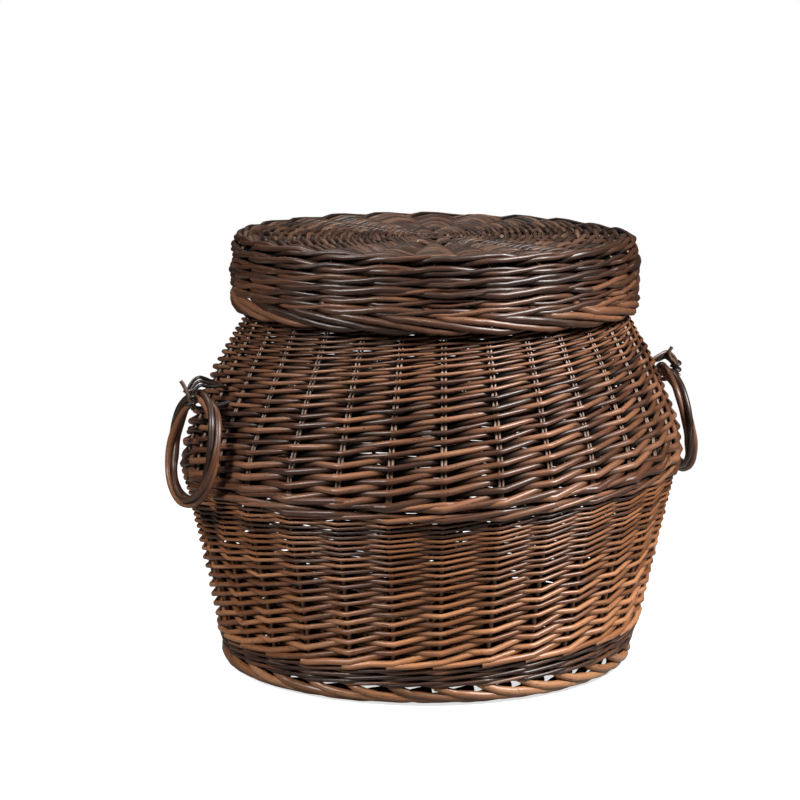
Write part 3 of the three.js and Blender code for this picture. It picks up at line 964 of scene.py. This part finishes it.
# %% Rim border
RIM_THICK = (5.6, 4.6)
rim_outer = outer_radius("rim_border")
rim_line = [
    (-0.1, rim_outer - 9, border_bottom - 4),
    (0.0, rim_outer - 9, border_bottom + 2),
    (0.4, rim_outer - 5, border_bottom + 6),
    (1.0, rim_outer - 3.5, border_top - 4),
    (1.6, rim_outer - 6, border_top - 3.4),
    (2.1, rim_outer - 10, border_top - 3.2),
    (2.7, rim_outer - 13.5, border_bottom + 7),
    (3.3, rim_outer - 14, border_bottom + 2),
]
rods = border_rods(rim_line, RIM_THICK, STAKES, turn_at)
rod_piece("rim_border_rods", rods, willows["wale_willow"], "hamper", ["rim_border"])

# %% [markdown]
# ## Base and lid top
#
# Both are woven flat, in pairing: two rods twist round each other and catch one stick in each twist,
# round and round from the slath, the cross of sticks in the middle. The first rounds bind the four arms
# of the cross, and then the sticks fan out. Each rod is one spiral, and its height goes over and under
# the sticks.

# %% Pairing
SOFT_BEND = 0.2
ARM_BEND = 0.38
RUN_ON = 0.7
ARMS = 4
ARM_STEPS = 12
PAIR_TWIST = 0.3
PAIR_SPREAD = 0.03
PAIR_STRAY = 0.06
PAIR_WOBBLE = 0.5
PAIR_SWELL = 0.5
PAIR_SWELLS = 12
FULL_SHARE = 0.64


def pairing_rods(reach, pitch_range, middle, spokes, first_turn, stick_half, share=FULL_SHARE):
    """reach and pitch_range are given at the inner and the outer round, and share is the rod's part of the
    pitch. The last round runs on level for a part of a turn, which closes the spiral."""
    inner, outer = reach
    rounds = round(2 * (outer - inner) / sum(pitch_range))
    pitches = np.linspace(*pitch_range, rounds)
    radii = inner + np.append(0, np.cumsum(pitches)) * (outer - inner) / pitches.sum()
    last = round((rounds + RUN_ON) * spokes)
    crossings = np.arange(-1, last + 2)
    round_arms = spokes == ARMS
    places = np.linspace(0, last, ARM_STEPS * last + 1) if round_arms else stake_steps(0, last)
    bend = ARM_BEND if round_arms else SOFT_BEND
    part = places / spokes
    radius = np.interp(part, np.arange(rounds + 1), radii)
    pitch = np.interp(part, np.arange(rounds), pitches)
    rods = []
    for rod in range(2):
        swell = rng.normal(1, PAIR_SPREAD) * (1 + wobble(len(places), PAIR_SWELL, PAIR_SWELLS))
        thick = share * pitch * swell
        over = np.where((crossings + rod) % 2 == 0, 1.0, -1.0) * strayed(len(crossings), PAIR_STRAY)
        aside = np.sin(np.pi * (places + rod))
        face = bent(places, crossings, over, bend)
        height = middle + face * (stick_half + thick / 2)
        radius_here = radius + PAIR_TWIST * pitch * aside + wobble(len(places), PAIR_WOBBLE)
        rods.append((around(first_turn + 2 * np.pi * part, radius_here, height), thick / 2, face))
    return rods


# %% Fans of sticks
CROSS_HALF = 20
CROSS_STATIONS = ((8, 1.0), (18, 1.05), (28, 1.6))
FAN_FROM = 50
CROSS_LIFT = 2.0


def stick_fan(count_each_way, spacing, spread, reach, middle, thick):
    """Two crossed sets of sticks that leave the cross side by side and then fan out."""
    rods = []
    for way, lift in enumerate((-CROSS_LIFT, CROSS_LIFT)):
        for stick in range(count_each_way):
            offset = stick - (count_each_way - 1) / 2
            end_turn = offset * spread
            ahead = [(x, offset * spacing * wider) for x, wider in CROSS_STATIONS]
            ahead += [(away * math.cos(end_turn), away * math.sin(end_turn)) for away in (FAN_FROM, reach)]
            behind = [(-x, y) for x, y in reversed(ahead)]
            line = [(x, y, middle + lift if abs(x) < CROSS_HALF else middle) for x, y in behind + ahead]
            points = flow(line, 6)
            if way:
                points = points[:, [1, 0, 2]]
            rods.append((points, np.full(len(points), thick / 2)))
    return rods


# %% Base
BASE_SPOKES = 16
base_bottom, base_top = levels("base_weave")
base_middle = (base_bottom + base_top) / 2
base_reach = outer_radius("base_weave") - 3
base_turn = np.pi / BASE_SPOKES

rods = pairing_rods((17, 27), (4.6, 4.6), base_middle, ARMS, 0.0, stick_half=3.6)
rods += pairing_rods((30, base_reach), (6.0, 9.0), base_middle, BASE_SPOKES, base_turn, stick_half=2.4)
rod_piece("base_rods", rods, willows["weave_willow"], "hamper", ["base_weave"], flat=True)
sticks = [f"base_{kind}_stick_{n}" for kind in ("pierced", "threaded") for n in range(1, 5)]
rods = stick_fan(4, spacing=7.0, spread=2 * base_turn, reach=base_reach, middle=base_middle, thick=5.4)
rod_piece("base_stick_rods", rods, willows["stake_willow"], "hamper", sticks)

# %% [markdown]
# ## Lid
#
# The lid is a shallow drum turned over. Its top is paired round a slath of three sticks each way, first
# round the four arms of the cross, then round single sticks, then round twice as many. The stakes bend
# down at the edge, and a heavy wale goes up the side and rolls over the edge in one run, to meet the top.
# A border of thick rods closes it below.

# %% Lid side
LID_STAKES = 24
LID_ROD = 5.6
LID_RAISED = 2.0
LID_PITCH = 1.75 * LID_ROD
LID_TILTS = (0, 0, 0, 0.1, 0.4)
ROLL_TILT = 0.85
LID_UNEVEN = 1.2
LID_SPREAD = 0.09
LID_STEP_AT = 0.3
lid_side_bottom, lid_side_top = levels("lid_side_wale")
lid_border_bottom, lid_border_top = levels("lid_border")
lid_line = outer_radius("lid_side_wale") - STAKE_HALF - LID_ROD
lid_middle = lid_side_top - STAKE_HALF - LID_ROD + LID_RAISED
lid_turn = np.radians(-15)


def lid_turns(place):
    return lid_turn + 2 * np.pi * place / LID_STAKES


def lid_from_back(place):
    return lid_turns(place + LID_STAKES * LID_STEP_AT)


rows = [(lid_line, lid_side_bottom + 4 + LID_PITCH * row, tilt) for row, tilt in enumerate(LID_TILTS)]
rows.append((lid_line - 4, lid_middle + 0.5, ROLL_TILT))
rods = wale_rods(rows, LID_ROD, LID_STAKES, lid_from_back, LID_UNEVEN, LID_SPREAD, SOFT_BEND)
rod_piece("lid_side_rods", rods, willows["lid_willow"], "lid", ["lid_side_wale"], sides=10)

# %% Lid top
OPEN_SHARE = 0.56

rods = pairing_rods((14, 26), (4.4, 4.4), lid_middle, ARMS, 0.0, stick_half=3.2)
rods += pairing_rods((28, 66), (5.0, 7.0), lid_middle, LID_STAKES // 2, 0.0, stick_half=2.4)
rods += pairing_rods((69, lid_line - 9), (7.0, 10.5), lid_middle, LID_STAKES, lid_turn, stick_half=2.2,
                     share=OPEN_SHARE)
rod_piece("lid_top_rods", rods, willows["top_willow"], "lid", ["lid_top_weave"], flat=True)

# %% Lid sticks and stakes
sticks = [f"lid_{kind}_stick_{n}" for kind in ("pierced", "threaded") for n in range(1, 4)]
stick_turn = 4 * np.pi / LID_STAKES
rods = stick_fan(3, spacing=6.4, spread=stick_turn, reach=lid_line - 8, middle=lid_middle, thick=4.8)
lid_stake_line = [
    (66, lid_middle),
    (130, lid_middle),
    (lid_line - 12, lid_middle),
    (lid_line - 4, lid_middle - 3),
    (lid_line, lid_middle - 11),
    (lid_line, lid_side_bottom - 2),
]
for stake in range(LID_STAKES):
    radius, height = flow(lid_stake_line, 4).T
    rods.append((around(lid_turns(stake), radius, height), np.full(len(radius), STAKE_HALF)))
rod_piece("lid_stick_rods", rods, willows["lid_willow"], "lid", sticks, sides=6)

# %% Lid border
LID_BORDER_THICK = (9.0, 6.6)
border_outer = outer_radius("lid_border")
lid_border_line = [
    (-0.3, lid_line - 4, lid_side_bottom + 14),
    (-0.1, lid_line, lid_side_bottom + 5),
    (0.2, border_outer - 5.5, lid_border_top - 1),
    (0.6, border_outer - 4.4, lid_border_top - 3),
    (1.0, border_outer - 4.4, lid_border_top - 5.5),
    (1.5, border_outer - 4.8, lid_border_top - 9.5),
    (2.0, border_outer - 5.5, lid_border_bottom + 4.6),
    (2.4, border_outer - 7.5, lid_border_bottom + 3.6),
    (2.8, border_outer - 9, lid_border_bottom + 7),
]
rods = border_rods(lid_border_line, LID_BORDER_THICK, LID_STAKES, lid_turns)
rod_piece("lid_border_rods", rods, willows["lid_willow"], "lid", ["lid_border"])

# %% [markdown]
# ## Ring handles
#
# A ring is one long rod wound three times round, each turn laid in the groove of the last, so that it
# looks like a rope of three. Its centre and plane are measured on the CAD ring, so it turns about the
# same hinge. The phase of a strand goes on by one and a third turns in each round, which leads it into
# the next strand's groove.

# %% Rings
STRAND = 3.4
STRAND_OUT = 3.9
STRAND_POINTS = 90
STRAND_TONES = (0.1, 0.95, 0.5)
RING_TUBE = 9.0
RING_WOBBLE = 0.8
STRAND_SWELL = 0.15
TWISTS = 1 + 1 / 3
HANDLES = ("left", "right")


def ring_frame(node):
    """Centre of a CAD ring, the directions up, sideways and across its plane, and its reach."""
    spots = np.array([vertex.co for vertex in frame["nodes"][node].data.vertices]) / MM
    centre = spots.mean(axis=0)
    across = np.linalg.svd(spots - centre, full_matrices=False)[2][2]
    across = across * np.sign(across[:2] @ centre[:2])
    sideways = np.cross((0, 0, 1), across)
    sideways = sideways / np.linalg.norm(sideways)
    up = np.cross(across, sideways)
    reach = (spots - centre) @ sideways
    return centre, up, sideways, across, reach.max()


for side in HANDLES:
    node = f"handle_ring_{side}"
    centre, up, sideways, across, reach = ring_frame(node)
    rods = []
    for strand in range(3):
        turns = 2 * np.pi * (strand + np.linspace(0.0, 1.0, STRAND_POINTS))
        phase = TWISTS * turns
        out = reach - RING_TUBE + STRAND_OUT * np.cos(phase) + wobble(STRAND_POINTS, RING_WOBBLE)
        points = centre + np.outer(out * np.cos(turns), up) + np.outer(out * np.sin(turns), sideways)
        points = points + np.outer(STRAND_OUT * np.sin(phase), across)
        rods.append((points, STRAND * (1 + wobble(STRAND_POINTS, STRAND_SWELL))))
    rod_piece(f"ring_{side}_rods", rods, willows["ring_willow"], f"ring_{side}", [node],
              sides=10, leans=False, tones=STRAND_TONES)

# %% [markdown]
# ## Ties
#
# A tie is a thin dark withy, soaked and twisted, that comes out of the weave, goes over and through the
# ring three times and ends in a knot with a short tail. It stays with the wall while the ring turns in
# it, so its loops leave room round the ring's rods. Each loop is one smooth line through a few stations:
# away from the axis, beside and above the top of the ring.

# %% Lines of a tie
TIE = 1.8
LOOPS = 3
LOOP_SPACING = 3.2
ARCH = 19.0
ARCH_STEP = 3.5
KNOT_AWAY = 13.0
KNOT_HALF = (4.5, 6.5)
KNOT_BOTTOM = -7.0
KNOT_RISE = 1.1
KNOT_TURNS = np.arange(0, 15, 0.8)
KNOT_THINNER = 0.9
TAIL_THICKER = 1.1
TIE_TONES = {"left": (0.05, 0.5, 0.0, 0.1, 0.7), "right": (0.9, 0.5, 0.75, 0.2, 0.85)}
TIE_TAILS = {
    "left": [(10, 2, -12), (14, 4, -4), (17, 5, 5), (20, 3, 13), (23, 2, 18)],
    "right": [(12, -2, 0), (10, -4, 8), (5, -5, 13), (3, -6, 19), (6, -7, 25)],
}


def loop_stations(loop, wall):
    """One loop, out of the weave, over the ring, through it and back into the weave."""
    shift = LOOP_SPACING * (loop - 1)
    arch = ARCH - ARCH_STEP * loop
    return [
        (wall - 9, -7 + shift, 2),
        (wall + 3, -6 + shift, 8),
        (-7, -3 + shift, arch - 2),
        (3, shift, arch),
        (11.5, shift, arch - 8),
        (12.5, 1 + shift, 0),
        (8, 2 + shift, -9.5),
        (-4, 4 + shift, -11),
        (wall + 3, 7 + shift, -7),
        (wall - 9, 8 + shift, -5),
    ]


def knot_station(turn):
    deep, wide = KNOT_HALF
    return KNOT_AWAY + deep * math.cos(turn), wide * math.sin(turn), KNOT_BOTTOM + KNOT_RISE * turn


# %% Ties
for side in HANDLES:
    centre, up, sideways, across, reach = ring_frame(f"handle_ring_{side}")
    ring_top = centre + up * (reach - RING_TUBE)
    away = np.array([ring_top[0], ring_top[1], 0])
    pivot = np.linalg.norm(away)
    away = away / pivot
    beside = np.cross((0, 0, 1), away)
    wall = stake_radius(ring_top[2]) - pivot
    lines = [(loop_stations(loop, wall), TIE) for loop in range(LOOPS)]
    lines.append(([knot_station(turn) for turn in KNOT_TURNS], TIE * KNOT_THINNER))
    lines.append((TIE_TAILS[side], TIE * TAIL_THICKER))
    rods = []
    for stations, radius in lines:
        line = flow(stations, 6)
        points = ring_top + np.outer(line[:, 0], away) + np.outer(line[:, 1], beside)
        points = points + np.outer(line[:, 2], (0, 0, 1))
        rods.append((points, np.full(len(line), radius)))
    rod_piece(f"tie_{side}_rods", rods, willows["tie_willow"], "hamper", [f"handle_tie_{side}"],
              leans=False, tones=TIE_TONES[side])
